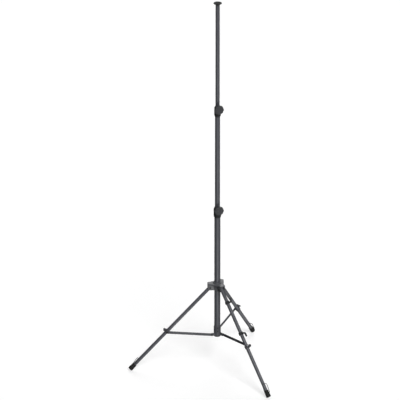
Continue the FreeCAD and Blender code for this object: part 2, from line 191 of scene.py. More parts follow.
def coated(name, dark, light, rough, patch, grain, relief, metal=0.0, specular=0.5):
    """A finish whose colour and roughness drift between two values over patches, and whose skin has
    an even grain. Patch, grain and relief are in mm: how wide the two patterns are, and how deep
    the grain is. It returns the material, its shader and the two patterns."""
    made = bpy.data.materials.new(name)
    made.use_nodes = True
    tree = made.node_tree
    shader = tree.nodes["Principled BSDF"]
    shader.inputs["Metallic"].default_value = metal
    shader.inputs["Specular IOR Level"].default_value = specular
    place = node(tree, "TexCoord", {}, {}).outputs["Object"]
    drift = node(tree, "TexNoise", {"Scale": 1000 / patch, "Detail": 5.0, "Roughness": 0.6},
                 {"Vector": place}).outputs["Fac"]
    skin = node(tree, "TexNoise", {"Scale": 1000 / grain, "Detail": 2.0}, {"Vector": place}).outputs["Fac"]
    colour = node(tree, "Mix", {"data_type": "RGBA", 6: linear(dark), 7: linear(light)}, {0: drift})
    gloss = node(tree, "MapRange", {"From Min": 0.3, "From Max": 0.7, "To Min": rough[0],
                                    "To Max": rough[1]}, {"Value": drift})
    bump = node(tree, "Bump", {"Strength": 1.0, "Distance": relief * MM}, {"Height": skin})
    tree.links.new(colour.outputs[2], shader.inputs["Base Color"])
    tree.links.new(gloss.outputs["Result"], shader.inputs["Roughness"])
    tree.links.new(bump.outputs["Normal"], shader.inputs["Normal"])
    return made, shader, drift, skin, colour.outputs[2]


def nicked(finish, bare, size, share, amount):
    """Small nicks and rubs in a coat: where a fine noise, size in mm, is above 1 - share, the colour
    goes a little way towards what lies under the coat."""
    made, shader, _, _, colour = finish
    tree = made.node_tree
    place = node(tree, "TexCoord", {}, {}).outputs["Object"]
    spots = node(tree, "TexNoise", {"Scale": 1000 / size, "Detail": 6.0, "Roughness": 0.75},
                 {"Vector": place}).outputs["Fac"]
    worn = node(tree, "MapRange", {"From Min": 1 - share, "From Max": 1.04 - share, "To Min": 0.0,
                                   "To Max": amount}, {"Value": spots})
    mixed = node(tree, "Mix", {"data_type": "RGBA", 7: linear(bare)},
                 {0: worn.outputs["Result"], 6: colour})
    tree.links.new(mixed.outputs[2], shader.inputs["Base Color"])
    return made


# Baked enamel on drawn tube: nearly even dark grey, a soft sheen, an orange peel about 1.5 mm
# wide that only just breaks the highlight, and a few rubs from the clamps.
tube_enamel = nicked(coated("baked_enamel", "#4a4b50", "#54555b", (0.36, 0.42), 90, 1.5, 0.02,
                            specular=0.4), "#85868a", 4, 0.34, 0.35)


def tube(wall, low, high, radius, edge=0.35):
    """Tube about Z: the four corners of its wall, softened, turned round and closed on itself."""
    corners = [(radius - wall, low), (radius, low), (radius, high), (radius - wall, high)]
    return shell(spun(softened(corners, edge, 4), 80), ring=True)


def upright(name):
    """Lowest and highest point, and outer radius, of an upright round CAD node, in mm."""
    low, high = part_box(name)
    return low.z / MM, high.z / MM, (high.x - low.x) / 2 / MM


MAST_WALL = 1.5
low, high, tube_r = upright("bottom_tube")
piece("mast_tube_bottom", [tube(MAST_WALL, low, high, tube_r)], tube_enamel, "bottom_tube")


# ---- Foot bracket, end cap and screws ----
# Sleeve pressed and rolled from 2.8 mm steel, with a flat lug welded on beside each leg for its
# brace, powder coated. Two cross-recessed screws hold it on the tube, and a moulded cap closes it.

# Powder coat: a shade darker than the enamel, with a fine pebbled skin.
bracket_coat = nicked(coated("powder_coat", "#444549", "#505155", (0.42, 0.5), 60, 1.1, 0.04,
                             specular=0.3), "#77787a", 3, 0.36, 0.3)
# Glass-filled nylon from a spark-eroded mould: near black, an even matt skin, slightly mottled.
moulded_nylon = nicked(coated("moulded_nylon", "#252628", "#303133", (0.52, 0.66), 35, 0.6, 0.03,
                              specular=0.35), "#4a4b4d", 2.5, 0.33, 0.4)
# Blackened steel: oily dark oxide, smoother than paint, with brown-grey rubs on its corners.
black_oxide = nicked(coated("black_oxide_steel", "#2a2a2b", "#39393a", (0.32, 0.46), 12, 0.5, 0.01,
                            metal=0.6), "#6a6663", 1.5, 0.38, 0.5)


def slab(outline, low, high, edge, steps=4):
    """Grid of a plate between two heights. Near each face the outline is drawn in along its own
    normals by edge * (1 - sin t) while the height grows by edge * (1 - cos t)."""
    along = np.roll(outline, -1, 0) - np.roll(outline, 1, 0)
    normal = np.stack([along[:, 1], -along[:, 0]], 1)
    normal /= np.linalg.norm(normal, axis=1)[:, None]
    x, y = outline.T
    normal *= np.sign((x * np.roll(y, -1) - np.roll(x, -1) * y).sum())
    t = np.linspace(0, np.pi / 2, steps)
    inset = edge * (1 - np.sin(t))
    rise = edge * (1 - np.cos(t))
    inset = np.concatenate([inset, inset[::-1]])
    height = np.concatenate([low + rise, high - rise[::-1]])
    flat = outline - inset[:, None, None] * normal
    return np.concatenate([flat, np.broadcast_to(height[:, None, None], (*flat.shape[:2], 1))], -1)


def weld_bead(start, end, radius, pitch=1.5):
    """Bead between two points: a thin tube whose radius rises and falls once per pitch, like the
    ripples of a weld, and shrinks to nothing at both ends."""
    start, end = np.asarray(start, float), np.asarray(end, float)
    run = np.linalg.norm(end - start)
    s = np.linspace(0, 1, int(run / pitch * 6))
    swell = radius * (0.85 + 0.15 * np.abs(np.sin(np.pi * s * run / pitch)))
    swell *= np.sqrt(np.clip(1 - (2 * s - 1) ** 6, 0, 1))
    return shell(carried(start + s[:, None] * (end - start), swell[:, None, None] * circle(10), (1, 0, 0)))


def circle_part(radius, angle):
    """Points of a circle about the origin at the given angles."""
    return radius * np.stack([np.cos(angle), np.sin(angle)], -1)


def circle(count, radius=1.0):
    """Closed circle of evenly spaced points."""
    return circle_part(radius, np.linspace(0, 2 * np.pi, count, endpoint=False))


def carried(path, profile, side):
    """Grid of a closed profile carried along a path. Its first coordinate lies along the side
    direction made square to the path, and its second along the cross product of path and side."""
    tangent = np.gradient(path, axis=0)
    tangent /= np.linalg.norm(tangent, axis=1)[:, None]
    normal = np.cross(tangent, np.broadcast_to(side, path.shape))
    normal /= np.linalg.norm(normal, axis=1)[:, None]
    across = np.cross(normal, tangent)
    profile = np.broadcast_to(profile, (len(path), *profile.shape[-2:]))
    return path[:, None] + profile[..., :1] * across[:, None] + profile[..., 1:] * normal[:, None]


LEGS = ("left", "front", "rear")


def leg_plane(joint):
    """Axes of a leg's upright plane from its pivot's axis: outwards, across to the left, and up."""
    across = np.array(joint["axis"])
    return np.array([np.cross(across, UP), across, UP])


FLAT = np.array([[1, 0, 0], [0, 0, 1], [0, 1, 0]])      # a plate drawn in X and Z, thick along Y
BRACKET_SLEEVE_R, LUG_INNER, LUG_OUTER, LUG_HALF_H = 20.3, 11.0, 14.7, 8.5
low, high, _ = upright("base_bracket")
sleeve = [(tube_r + 0.05, low), (BRACKET_SLEEVE_R, low), (BRACKET_SLEEVE_R, high), (tube_r + 0.05, high)]
skins = [shell(spun(softened(sleeve, [0.3, 0.8, 1.0, 0.3])), ring=True)]
for leg in LEGS:
    pin = JOINTS["brace_%s_fold" % leg]
    plane = leg_plane(pin)
    lug_r, lug_z = plane[0] @ pin["pos_m"] / MM, pin["pos_m"][2] / MM
    lug = softened([(15, lug_z - LUG_HALF_H), (lug_r + LUG_HALF_H, lug_z - LUG_HALF_H),
                    (lug_r + LUG_HALF_H, lug_z + LUG_HALF_H), (15, lug_z + LUG_HALF_H)],
                   [0, LUG_HALF_H - 0.01, LUG_HALF_H - 0.01, 0], 16)
    seat = (np.zeros(3), plane)
    skins.append(seated(shell(slab(lug, LUG_INNER, LUG_OUTER, 0.5) @ FLAT), seat))
    for y in (LUG_INNER, LUG_OUTER):
        x = np.sqrt(BRACKET_SLEEVE_R ** 2 - y ** 2)
        skins.append(seated(weld_bead((x, y, lug_z - 7.5), (x, y, lug_z + 7.5), 1.2), seat))
piece("mast_foot_bracket", skins, bracket_coat, "base_bracket")

cap_low, cap_high, _ = upright("base_cap")
CAP_H, SPIGOT_R = 6.0, 15.95
cap = softened([(0, cap_low + 1.2), (9, cap_low + 1.2), (10.5, cap_low), (BRACKET_SLEEVE_R, cap_low),
                (BRACKET_SLEEVE_R, cap_low + CAP_H), (SPIGOT_R, cap_low + CAP_H),
                (SPIGOT_R - 0.4, cap_high), (0, cap_high)], [0, 0.5, 0.8, 2.5, 0.2, 0.3, 1.0, 0], 6, False)
piece("mast_end_cap", [shell(spun(cap))], moulded_nylon, "base_cap")


def cross_head(radius, height, shank_r, shank):
    """Pan head screw along Z, its seat at height 0: the crown falls with the square of the radius,
    and a cross is sunk in it where one coordinate is small and the other is inside the recess."""
    crown = spun(np.stack([np.linspace(radius, 0, 18), np.zeros(18)], -1), 64)
    across = np.hypot(crown[..., 0], crown[..., 1]) / radius
    thin = np.minimum(abs(crown[..., 0]), abs(crown[..., 1]))
    long = np.maximum(abs(crown[..., 0]), abs(crown[..., 1]))
    sunk = np.clip((0.19 * radius - thin) / 0.25, 0, 1) * np.clip((0.6 * radius - long) / 0.5, 0, 1)
    crown[..., 2] = height * (1 - 0.45 * across ** 2.4) - 0.6 * height * sunk
    under = spun([(0, -shank), (shank_r * 0.7, -shank), (shank_r, -shank + 0.8), (shank_r, 0),
                  (radius, 0)], 64)
    return shell(np.concatenate([under, crown]))


SCREW_HEAD_R, SCREW_HEAD_H, SCREW_R = 4.2, 2.1, 2.5
low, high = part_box("base_screws")
skins = []
for z in (low.z / MM + SCREW_HEAD_R, high.z / MM - SCREW_HEAD_R):
    seat = (np.array([0, low.y / MM + SCREW_HEAD_H, z]), np.array([[1, 0, 0], [0, 0, 1], [0, -1, 0]]))
    skins.append(seated(cross_head(SCREW_HEAD_R, SCREW_HEAD_H, SCREW_R, 4.8), seat))
piece("mast_foot_screws", skins, black_oxide, "base_screws")


# ---- Leg hub ----
# Zinc casting that slides on the bottom tube: a raised round collar, a plate with a lobe over each
# leg, a sleeve below, and a pair of ears round each leg's top. Shot blasted and powder coated.

# Powder coat on a casting: lighter grey, a coarser pebble, rubbed brighter on the high spots.
cast_coat = nicked(coated("cast_powder_coat", "#515255", "#5d5e61", (0.36, 0.48), 30, 1.3, 0.06,
                          specular=0.4), "#98999b", 3.5, 0.36, 0.4)

HUB_BORE_R, HUB_COLLAR_R, HUB_COLLAR_H, HUB_SLEEVE_R = 17.7, 23.5, 7.5, 22.0
PLATE_H, PLATE_REACH, LOBE_HALF_W, PLATE_WAIST = 7.5, 57.0, 15.6, 33.0
PLATE_TOP_ROUND, PLATE_FOOT_ROUND = 1.6, 0.6
EAR_INNER, EAR_OUTER, EAR_R = 10.6, 14.6, 14.5
LOCK_BOSS_R, LOCK_BOSS_END = 9.0, 31.0

pivot_z = JOINTS["leg_left_fold"]["pos_m"][2] / MM
pivot_r = float(np.hypot(*JOINTS["leg_left_fold"]["pos_m"][:2])) / MM
hub_low, hub_high, _ = upright("leg_hub")
plate_top = hub_high - HUB_COLLAR_H
plate_low = plate_top - PLATE_H


def waist(start, middle, end, count):
    """Arc through three points of the plane, without its two ends."""
    a, b = start - middle, end - middle
    cross = a[0] * b[1] - a[1] * b[0]
    aside = np.array([b[1] * (a @ a) - a[1] * (b @ b), a[0] * (b @ b) - b[0] * (a @ a)])
    centre = middle + aside / (2 * cross)
    first, last = start - centre, end - centre
    sweep = np.arctan2(first[0] * last[1] - first[1] * last[0], first @ last)
    angle = np.arctan2(first[1], first[0]) + np.linspace(0, sweep, count + 2)[1:-1]
    return centre + circle_part(np.linalg.norm(first), angle)


def three_lobed():
    """The plate's outline: for each leg a straight end with rounded corners, then a hollow arc to
    the next lobe, which comes nearest to the mast half way round."""
    sixth = np.radians(60)
    end = np.array([PLATE_REACH, LOBE_HALF_W])
    spin = np.array([[np.cos(2 * sixth), np.sin(2 * sixth)], [-np.sin(2 * sixth), np.cos(2 * sixth)]])
    near = PLATE_WAIST * np.array([np.cos(sixth), np.sin(sixth)])
    far = end * (1, -1) @ spin
    hollow = waist(end, near, far, 40)[2:-2]
    lobe = softened([hollow[-1] @ spin.T, end * (1, -1), end, hollow[0]], [0, 6, 6, 0], 8)[1:-1]
    third = np.concatenate([lobe, hollow])
    return np.concatenate([third @ np.linalg.matrix_power(spin, k) for k in range(3)])


def hub_body():
    """The collar, plate and sleeve in one skin. Each row is a mix of a circle and the lobed outline
    at the same angles: all circle on the collar and the sleeve, all outline on the plate's edge."""
    outline = three_lobed()
    reach = np.linalg.norm(outline, axis=1)
    ray = outline / reach[:, None]
    rows = []
    for r, z in softened([(HUB_BORE_R, hub_low), (HUB_BORE_R, hub_high), (HUB_COLLAR_R, hub_high),
                          (HUB_COLLAR_R, plate_top), (HUB_COLLAR_R + 4, plate_top)],
                         [0, 0.8, 2.5, 1.2, 0], 6, False):
        rows.append((ray * r, z))
    for t in np.linspace(0, np.pi / 2, 6):
        shrink = PLATE_TOP_ROUND * (1 - np.sin(t))
        rows.append((ray * (reach - shrink)[:, None], plate_top - PLATE_TOP_ROUND * (1 - np.cos(t))))
    for t in np.linspace(0, np.pi / 2, 4):
        shrink = PLATE_FOOT_ROUND * (1 - np.cos(t))
        rows.append((ray * (reach - shrink)[:, None], plate_low + PLATE_FOOT_ROUND * (1 - np.sin(t))))
    for r, z in softened([(HUB_SLEEVE_R + 4, plate_low), (HUB_SLEEVE_R, plate_low), (HUB_SLEEVE_R, hub_low),
                          (HUB_BORE_R, hub_low)], [0, 1.5, 0.9, 0], 5, False)[:-1]:
        rows.append((ray * r, z))
    return shell(np.stack([np.column_stack([flat, np.full(len(flat), z)]) for flat, z in rows]), ring=True)


def side_boss(radius, end, wall_r, flare, round_off, sink=1.5):
    """Round boss along X that grows out of an upright cylinder: its foot follows the cylinder,
    x = sqrt(wall_r ** 2 - y ** 2), and flares out in a quarter circle where it leaves it."""
    t = np.linspace(0, np.pi / 2, 6)[:, None]
    angle = np.linspace(0, 2 * np.pi, 64, endpoint=False)
    foot = radius + flare * (1 - np.sin(t)) + 0 * angle
    wall = np.sqrt(np.clip(wall_r ** 2 - (foot * np.cos(angle)) ** 2, 0, None))
    foot_x = wall + flare * (1 - np.cos(t))
    inner_x = foot_x[:1] - sink
    crown = radius - round_off * (1 - np.cos(t)) + 0 * angle
    crown_x = end - round_off * (1 - np.sin(t)) + 0 * angle
    rho = np.concatenate([foot[:1], foot, crown])
    x = np.concatenate([inner_x, foot_x, crown_x])
    return shell(np.stack([x, rho * np.cos(angle), rho * np.sin(angle)], -1))


lock_axis = np.array(JOINTS["hub_lock_turn"]["axis"])
lock_z = JOINTS["hub_lock_turn"]["pos_m"][2] / MM
lock_axes = np.array([lock_axis, np.cross(UP, lock_axis), UP])
skins = [seated(hub_body(), (np.zeros(3), leg_plane(JOINTS["leg_rear_fold"]))),
         seated(side_boss(LOCK_BOSS_R, LOCK_BOSS_END, HUB_SLEEVE_R, 2.0, 0.8),
                (UP * lock_z, lock_axes))]
for leg in LEGS:
    plane = leg_plane(JOINTS["leg_%s_fold" % leg])
    tip = pivot_r + EAR_R
    ear = softened([(18.5, plate_low + 1), (18.5, pivot_z - EAR_R), (tip, pivot_z - EAR_R),
                    (tip, plate_low + 1)], [0, 0, EAR_R - 0.01, 0], 20)
    pad = circle(48, 7.5) + (pivot_r, pivot_z)
    for sign in (1, -1):
        for outline, top in ((ear, EAR_OUTER), (pad, EAR_OUTER + 0.02)):
            plate = slab(outline, EAR_INNER, top, 0.7) @ FLAT
            skins.append(seated(shell(plate * (1, sign, 1)), (np.zeros(3), plane)))
piece("leg_hub_casting", skins, cast_coat, "leg_hub")


# ---- Hub lock ----
# Small moulded knob on a steel stud behind the hub. It turns in a brass insert in the hub's boss
# and presses on the mast. The stud and the insert keep their CAD shape.

# Nylon grip: as the moulded nylon, rubbed greyer by hands on the lobes.
knob_nylon = nicked(coated("knob_nylon", "#2f3033", "#3c3d40", (0.45, 0.6), 25, 0.7, 0.03,
                           specular=0.4), "#5a5b5e", 3, 0.4, 0.5)
# Turned brass: warm, fairly bright, dulled in patches.
turned_brass = coated("turned_brass", "#a8874c", "#c6a566", (0.25, 0.4), 6, 0.4, 0.01, metal=1.0)[0]
# Zinc plate on steel nuts and studs: bluish silver with a cloudy passivation.
zinc_plate = nicked(coated("zinc_plated_steel", "#9a9da1", "#b9bcc0", (0.28, 0.45), 9, 0.5, 0.01,
                           metal=1.0), "#77787a", 2, 0.36, 0.4)


def lobed_rim(radius, lobes, scallop, per_lobe=20):
    """Radius of a knob's rim by angle: the lesser of the round blank and the near side of scallop
    circles set round it, blended as -log(exp(-k a) + exp(-k b)) / k so that the lips are soft."""
    reach, k = radius + 0.7 * scallop, 2.5
    angle = np.linspace(0, 2 * np.pi, lobes * per_lobe, endpoint=False)
    off = ((angle * lobes / (2 * np.pi)) % 1 - 0.5) * 2 * np.pi / lobes
    inside = scallop ** 2 - (reach * np.sin(off)) ** 2
    cut = np.where(inside > 0, reach * np.cos(off) - np.sqrt(np.clip(inside, 0, None)), radius + 9)
    return angle, radius - np.log(1 + np.exp(-k * (cut - radius))) / k


def lobed_knob(radius, height, lobes, scallop, neck=None):
    """Hand knob along Z. Each row is a share of the lobed rim plus a share of a circle: the back and
    the dished face are round, and the side is lobed, with a soft edge front and back."""
    angle, rim = lobed_rim(radius, lobes, scallop)
    edge = 0.16 * height
    rows = [(0, 0, 0), (0, 0.34 * radius, 0)]
    if neck:
        stem = softened([(0, -neck[1]), (neck[0], -neck[1]), (neck[0], 0), (neck[0] + 2, 0)],
                        [0, 0.6, 0.5, 0], 4, False)
        rows = [(0, r, z) for r, z in stem]
    side = [(1, -edge * (1 - np.sin(t)), edge * (1 - np.cos(t))) for t in np.linspace(0, np.pi / 2, 5)]
    front = [(1, -2 * edge * (1 - np.cos(t)), height - 2 * edge * (1 - np.sin(t)))
             for t in np.linspace(0, np.pi / 2, 8)]
    dish = ((0.64, 0.15), (0.6, 0.5), (0.57, 1.2), (0.33, 1.3), (0.31, 0.9), (0.28, 0.6), (0, 0.5))
    face = [(0.5, 0.31 * radius, height - 0.1)] + [(0, r * radius, height - sunk) for r, sunk in dish]
    share, plain, z = np.array(rows + side + front + face).T[:, :, None]
    rho = share * rim + plain
    return np.stack([rho * np.cos(angle), rho * np.sin(angle), z + 0 * angle], -1)


ALONG_X = np.array([[0, 1, 0], [0, 0, 1], [1, 0, 0]])    # a knob drawn along Z, laid along X
LOCK_HEAD_R, LOCK_HEAD_H, LOCK_NECK_R, LOCK_NECK_H, LOCK_LOBES = 13.0, 12.0, 7.0, 12.0, 6
lock_start = np.array(JOINTS["hub_lock_turn"]["pos_m"]) / MM
grip = lobed_knob(LOCK_HEAD_R, LOCK_HEAD_H, LOCK_LOBES, 3.5, (LOCK_NECK_R, LOCK_NECK_H))
piece("hub_lock_knob", [seated(shell(grip @ ALONG_X), (lock_start, lock_axes))], knob_nylon,
      "hub_lock_head")


# ---- Legs ----
# Steel tubes 20 mm across with a 1.2 mm wall, enamelled like the mast, hung between the hub's
# ears. Their plugs, inside the tops, keep the CAD shape.

LEG_WALL = 1.2


def leg_seat(leg):
    """Seat of a leg: its pivot, and axes that hang with the leg. The leg runs along -Z, tilted out
    from the mast by the range of its fold."""
    fold = JOINTS["leg_%s_fold" % leg]
    out, across, up = leg_plane(fold)
    tilt = np.radians(fold["range_deg"][1])
    return np.array(fold["pos_m"]) / MM, np.array([out * np.cos(tilt) + up * np.sin(tilt), across,
                                                   up * np.cos(tilt) - out * np.sin(tilt)])


def reach(name, seat):
    """Lowest and highest corner of a CAD node measured along a seat's axes, in mm."""
    flat = np.empty(3 * len(NODES[name].data.vertices), np.float32)
    NODES[name].data.vertices.foreach_get("co", flat)
    local = (flat.reshape(-1, 3) / MM - seat[0]) @ seat[1].T
    return local.min(0), local.max(0)


for leg in LEGS:
    seat = leg_seat(leg)
    low, high = reach("leg_tube_" + leg, seat)
    body = tube(LEG_WALL, low[2], high[2], (high[1] - low[1]) / 2, 0.3)
    piece("leg_%s_tube" % leg, [seated(body, seat)], tube_enamel, "leg_tube_" + leg)


# ---- Leg pivots ----
# An M6 bolt and nut through the ears of each leg, blackened. The heads are hexagons 10 mm across
# flats, chamfered at 30 degrees, and the bolt's end shows two threads past its nut.

BOLT_R, BOLT_FLATS, THREAD_PITCH = 3.0, 10.0, 1.0


def hexagon(flats, low, high, bore=0.0):
    """Hexagonal nut or head along Z. Its radius is flats / 2 / cos(angle to the nearest flat), and
    its corners are chamfered: past the flats' radius, the top drops by the tangent of 30 degrees."""
    angle = np.linspace(0, 2 * np.pi, 72, endpoint=False)
    edge = flats / 2 / np.cos((angle + np.pi / 6) % (np.pi / 3) - np.pi / 6)
    inner = np.full(72, 0.94 * flats / 2)
    drop = (edge - inner) * np.tan(np.radians(30))
    rows = [(bore + 0 * angle, low + 0 * angle), (inner, low + 0 * angle), (edge, low + drop * 0.4),
            (edge, high - drop), (inner, high + 0 * angle)]
    if bore:
        rows += [(bore + 0.4 + 0 * angle, high + 0 * angle), (bore + 0 * angle, high - 0.4 + 0 * angle)]
    else:
        rows += [(0.55 * inner, high - 0.25 + 0 * angle), (0 * angle, high - 0.3 + 0 * angle)]
    rho, z = np.array(rows).transpose(1, 0, 2)
    return shell(np.stack([rho * np.cos(angle), rho * np.sin(angle), z], -1), ring=bool(bore))


def threaded(radius, low, high, pitch, depth=0.3, plain=0.0):
    """Threaded rod along Z: the radius falls by a triangle wave of height over pitch less angle over
    a full turn, which makes a helix, and tapers off at both ends. The first stretch may be plain."""
    angle = np.linspace(0, 2 * np.pi, 24, endpoint=False)
    z = np.arange(low, high + 1e-6, pitch / 6)
    z[-1] = high
    wave = abs(((z[:, None] / pitch - angle / (2 * np.pi)) % 1) * 2 - 1)
    cut = depth * np.clip((z - low - plain) / pitch, 0, 1)[:, None]
    rho = radius - cut * wave
    rho[0] = rho[-1] = radius - 0.6
    grid = np.stack([rho * np.cos(angle), rho * np.sin(angle), z[:, None] + 0 * angle], -1)
    ends = [np.zeros_like(grid[:1]) + (0, 0, end) for end in (low, high)]
    return shell(np.concatenate([ends[0], grid, ends[1]]))


ACROSS = np.array([[0, 0, 1], [1, 0, 0], [0, 1, 0]])     # a bolt drawn along Z, laid along Y
bolts, nuts = [], []
for leg in LEGS:
    fold = JOINTS["leg_%s_fold" % leg]
    seat = (np.array(fold["pos_m"]) / MM, ACROSS @ leg_plane(fold))
    bolts += [seated(threaded(BOLT_R, -EAR_OUTER - 6, EAR_OUTER + 0.5, THREAD_PITCH), seat),
              seated(hexagon(BOLT_FLATS, EAR_OUTER, EAR_OUTER + 4), seat)]
    nuts.append(seated(hexagon(BOLT_FLATS, -EAR_OUTER - 5, -EAR_OUTER, BOLT_R + 0.05), seat))
piece("leg_pivot_bolt_set", bolts, black_oxide, "leg_pivot_bolts")
piece("leg_pivot_nut_set", nuts, black_oxide, "leg_pivot_nuts")


# ---- Foot caps ----
# Moulded rubber boots pushed on the legs' ends. They taper a little upwards, with four grooves for
# grip, a rolled top lip and a rounded rim that stands on the floor.

# Moulded rubber: black, dead matt, with a fine dust of floor on it that greys it in patches.
boot_rubber = nicked(coated("moulded_rubber", "#191919", "#232323", (0.75, 0.9), 20, 0.8, 0.05,
                            specular=0.3), "#4a4845", 5, 0.42, 0.35)

BOOT_FLOOR, BOOT_ROUND, GROOVES, GROOVE_PITCH, GROOVE_DEPTH = 4.0, 1.5, 4, 4.2, 0.7
LEG_TUBE_R = 10.0
BOOT_R, BOOT_TOP_R = 14.2, 13.0


def boot(low, high):
    """Boot about Z: rim, grooved side, lip and bore in one profile. The side's radius falls evenly,
    and each groove takes a half sine out of it."""
    z = np.linspace(low + 4, high - 1.4, 90)
    side = BOOT_R + (BOOT_TOP_R - BOOT_R) * (z - low) / (high - low)
    first = high - 6 - GROOVES * GROOVE_PITCH
    turns = (z - first) / GROOVE_PITCH
    side -= GROOVE_DEPTH * np.where((turns > 0) & (turns < GROOVES), np.sin(np.pi * (turns % 1)) ** 2, 0)
    rim = softened([(0, low + 0.8), (7, low + 0.8), (8.5, low), (BOOT_R, low), (BOOT_R - 0.08, low + 3.9)],
                   [0, 0.4, 0.6, BOOT_ROUND, 0], 6, False)
    lip = softened([(BOOT_TOP_R, high - 1.2), (BOOT_TOP_R, high), (LEG_TUBE_R + 0.05, high),
                    (LEG_TUBE_R + 0.05, low + BOOT_FLOOR), (0, low + BOOT_FLOOR)],
                   [0, 0.9, 0.5, 0, 0], 5, False)
    return shell(spun(np.concatenate([rim, np.column_stack([side, z]), lip])))


for leg in LEGS:
    seat = leg_seat(leg)
    low, high = reach("foot_cap_" + leg, seat)
    piece("foot_%s_boot" % leg, [seated(boot(low[2], high[2]), seat)], boot_rubber, "foot_cap_" + leg)


# ---- Wire loops ----
# A loop of spring wire, zinc plated and blackened, on each boot, for a peg or a weight. Its ends
# turn in under two tight bends and swing in holes in the boot, and its bow rests back on the leg.

# Zinc plate with a black passivate: dark, faintly brown and cloudy, with a metal's shine.
dark_zinc = nicked(coated("black_zinc_plate", "#2b2b2c", "#3b3a3a", (0.3, 0.42), 9, 0.5, 0.01, metal=0.7),
                   "#6e6c68", 2, 0.36, 0.4)
LOOP_HALF_W, LOOP_STUB, LOOP_BEND, LOOP_BOW = 16.2, 11.6, 2.6, 11.0
WIRE_R = 1.6

for leg in LEGS:
    origin, axes = leg_seat(leg)
    swing = np.array(JOINTS["peg_%s_swing" % leg]["pos_m"]) / MM
    low, high = reach("peg_loop_" + leg, (swing, axes))
    bow = np.array([high[0] - WIRE_R, 0, high[2] - WIRE_R])
    lean = bow / np.linalg.norm(bow)
    wire = [(LOOP_HALF_W * y, np.linalg.norm(bow) * x) for x, y in
            ((0, -LOOP_STUB / LOOP_HALF_W), (0, -1), (1, -1), (1, 1), (0, 1), (0, LOOP_STUB / LOOP_HALF_W))]
    line = softened(wire, [0, LOOP_BEND, LOOP_BOW, LOOP_BOW, LOOP_BEND, 0], 14, False)
    path = line[:, :1] * np.array([0, 1, 0]) + line[:, 1:] * lean
    loop = shell(carried(path, circle(18, WIRE_R), np.cross(lean, (0, 1, 0))))
    piece("peg_%s_wire" % leg, [seated(loop, (swing, axes))], dark_zinc, "peg_loop_" + leg)


# ---- Leg clamps ----
# A steel strap 3.2 mm thick bent round each leg, with its two ends turned out as ears. A screw with
# a small grip pulls the ears together, and a boss welded on its side is the brace's joint face.

STRAP_INNER, STRAP_OUTER, STRAP_HALF_H, EAR_HALF_H, SLIT = 10.05, 13.2, 9.0, 6.0, 1.4
PINCH_X, EAR_TIP, SIDE_BOSS_R, JOINT_FACE = 20.5, 26.5, 7.5, 14.7
SMALL_NUT_FLATS, SMALL_STUD_R, SMALL_GRIP_R = 8.0, 2.5, 8.0


def strap():
    """Strap about Z, open towards X: a bar section carried from one ear's tip round the leg to the
    other's. Its half height eases from the band's to the ears', and rounds off at the tips."""
    half_t = (STRAP_OUTER - STRAP_INNER) / 2
    middle, ear_y, blend = STRAP_INNER + half_t, SLIT + half_t, 3.0
    join = np.sqrt((middle + blend) ** 2 - (ear_y + blend) ** 2)
    start = np.arctan2(ear_y + blend, join)
    bend = np.linspace(np.pi / 2, start, 8)
    run = np.column_stack([np.linspace(EAR_TIP, join, 26)[:-1], np.full(25, ear_y)])
    corner = np.column_stack([join - blend * np.cos(bend), ear_y + blend * (1 - np.sin(bend))])
    band = circle_part(middle, np.linspace(start, np.pi, 40))[1:]
    half = np.concatenate([run, corner, band])
    line = np.concatenate([half, (half * (1, -1))[-2::-1]])
    path = np.column_stack([line, np.zeros(len(line))])
    ease = np.clip((path[:, 0] - 9) / 5, 0, 1)
    tall = STRAP_HALF_H + (EAR_HALF_H - STRAP_HALF_H) * ease * ease * (3 - 2 * ease)
    past = np.clip((path[:, 0] - PINCH_X) / (EAR_TIP - PINCH_X), 0, 0.998)
    tall = tall * np.sqrt(1 - past ** 2)
    section = softened([(-1, -1), (1, -1), (1, 1), (-1, 1)], 0.3, 4)
    size = np.column_stack([tall, np.full(len(tall), half_t)])
    return carried(path, section * size[:, None], UP)


for leg in LEGS:
    seat = leg_seat(leg)
    low, high = reach("leg_clamp_" + leg, seat)
    mid = (low[2] + high[2]) / 2
    here = (seat[0] + mid * seat[1][2], seat[1])
    side = (here[0], ACROSS @ here[1])
    boss = spun(softened([(0, 8), (SIDE_BOSS_R, 8), (SIDE_BOSS_R, JOINT_FACE), (0, JOINT_FACE)],
                         [0, 0, 0.6, 0], 4, False), 48)
    seam = spun(softened([(0, 10), (SIDE_BOSS_R + 1.2, 10), (SIDE_BOSS_R, 13.8), (0, 13.8)],
                         [0, 0.5, 0.5, 0], 3, False), 48)
    piece("leg_%s_clamp_strap" % leg, [seated(shell(strap()), here), seated(shell(boss), side),
                                       seated(shell(seam), side)], bracket_coat, "leg_clamp_" + leg)
    pinch = (here[0] + PINCH_X * here[1][0], ACROSS @ here[1])
    nut_low, nut_high = reach("clamp_nut_" + leg, pinch)
    piece("leg_%s_clamp_nut" % leg,
          [seated(hexagon(SMALL_NUT_FLATS, nut_low[2], nut_high[2], SMALL_STUD_R + 0.05), pinch)],
          zinc_plate, "clamp_nut_" + leg)
    low, high = reach("clamp_grip_" + leg, pinch)
    grip = lobed_knob(SMALL_GRIP_R, high[2] - low[2], 6, 2.0) + (0, 0, low[2])
    piece("leg_%s_clamp_grip" % leg, [seated(shell(grip), pinch)], knob_nylon, "clamp_grip_" + leg)
    low, high = reach("clamp_stud_" + leg, pinch)
    piece("leg_%s_clamp_stud" % leg,
          [seated(threaded(SMALL_STUD_R, low[2], high[2], 0.8, 0.25), pinch)],
          zinc_plate, "clamp_stud_" + leg)


# ---- Braces, their pins and rivets ----
# Flat steel bars 16 x 3 mm with round ends, one from a lug at the mast's foot to the side boss of
# each leg clamp. They turn on a domed pin inside and are held by a rivet outside.

BAR_HALF_W, RIVET_R, RIVET_HEAD_R, PIN_HEAD_R, PIN_HEAD_H = 8.0, 3.0, 6.5, 5.5, 2.2


